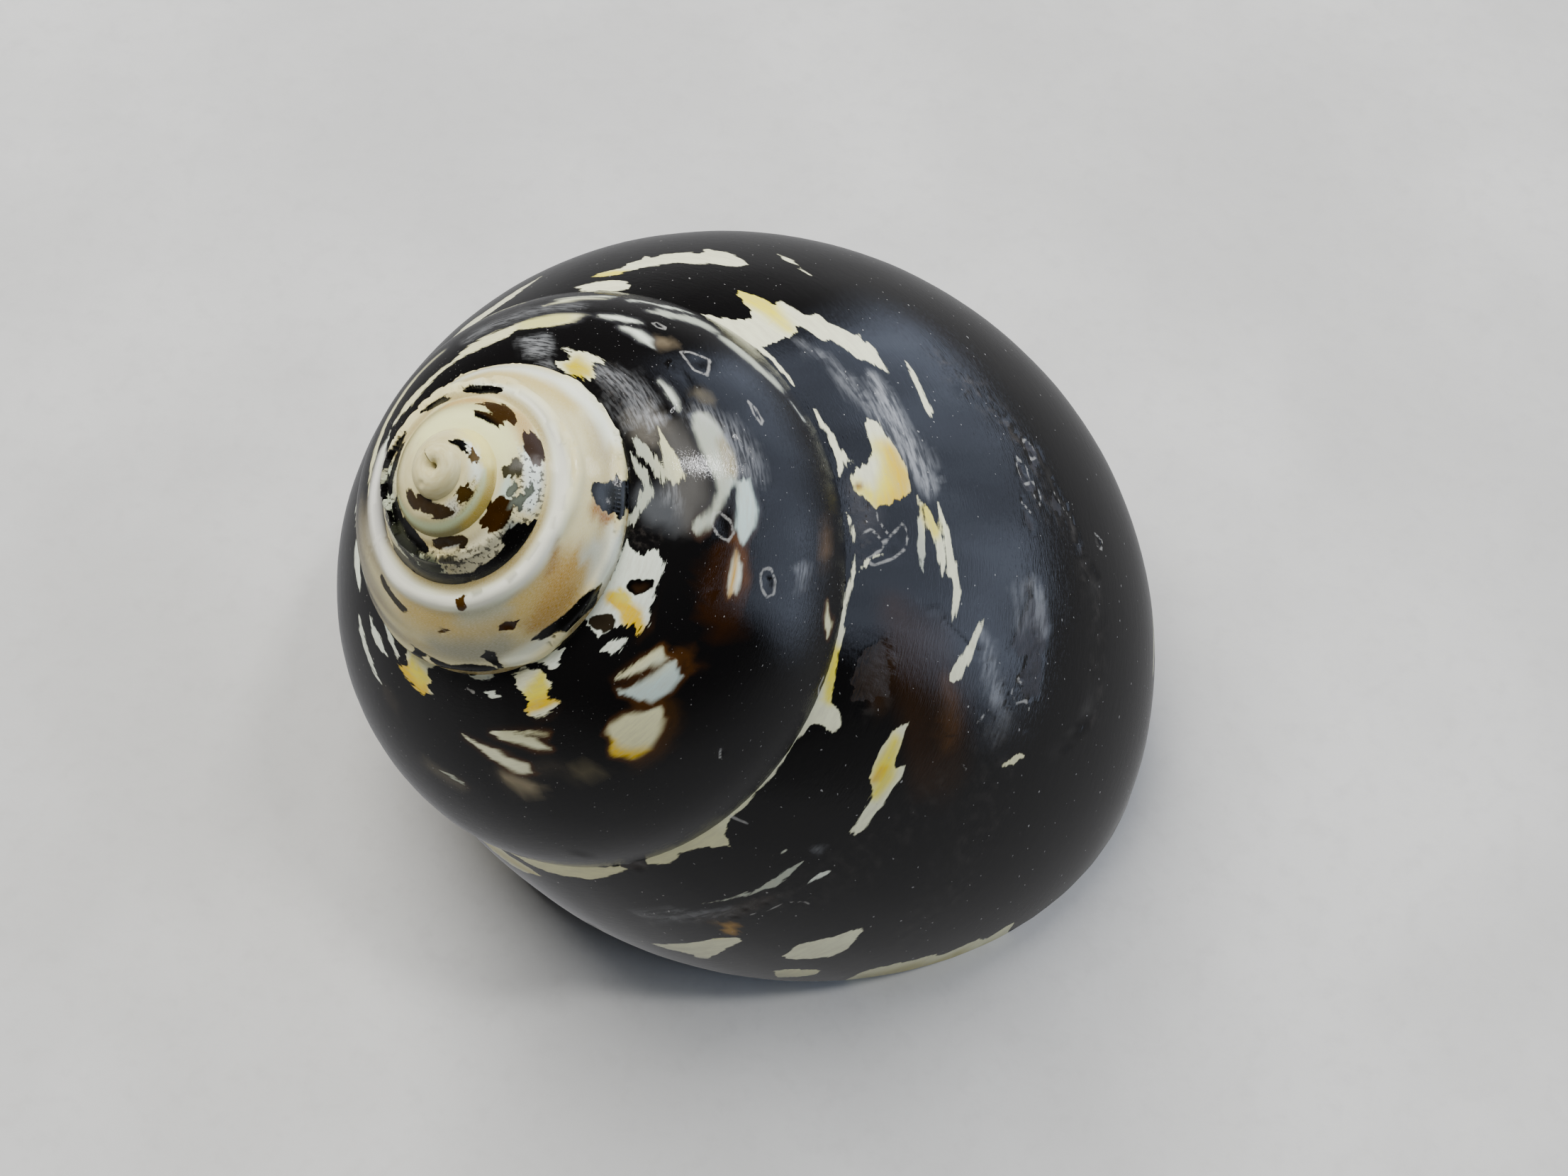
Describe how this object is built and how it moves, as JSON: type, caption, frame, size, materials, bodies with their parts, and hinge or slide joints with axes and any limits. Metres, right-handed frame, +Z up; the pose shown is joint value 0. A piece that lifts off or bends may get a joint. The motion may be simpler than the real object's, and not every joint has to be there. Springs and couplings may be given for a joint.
{
  "type": "top shell",
  "caption": "Polished black top snail shell with ivory marks, pearly spire and open aperture, resting mouth-down on its lip.",
  "frame": {"origin": "on the ground under the middle of the shell's bounding box", "axes": "+Z up, +X the longest way across from the spire side to the outer lip, +Y away from the front where the lip's straight edge lies"},
  "size_m": [0.0708, 0.0614, 0.0505],
  "materials": {
    "shell": "polished shell, black with ivory marks"
  },
  "bodies": {
    "root": {"shell": "shell"}
  },
  "joints": []
}
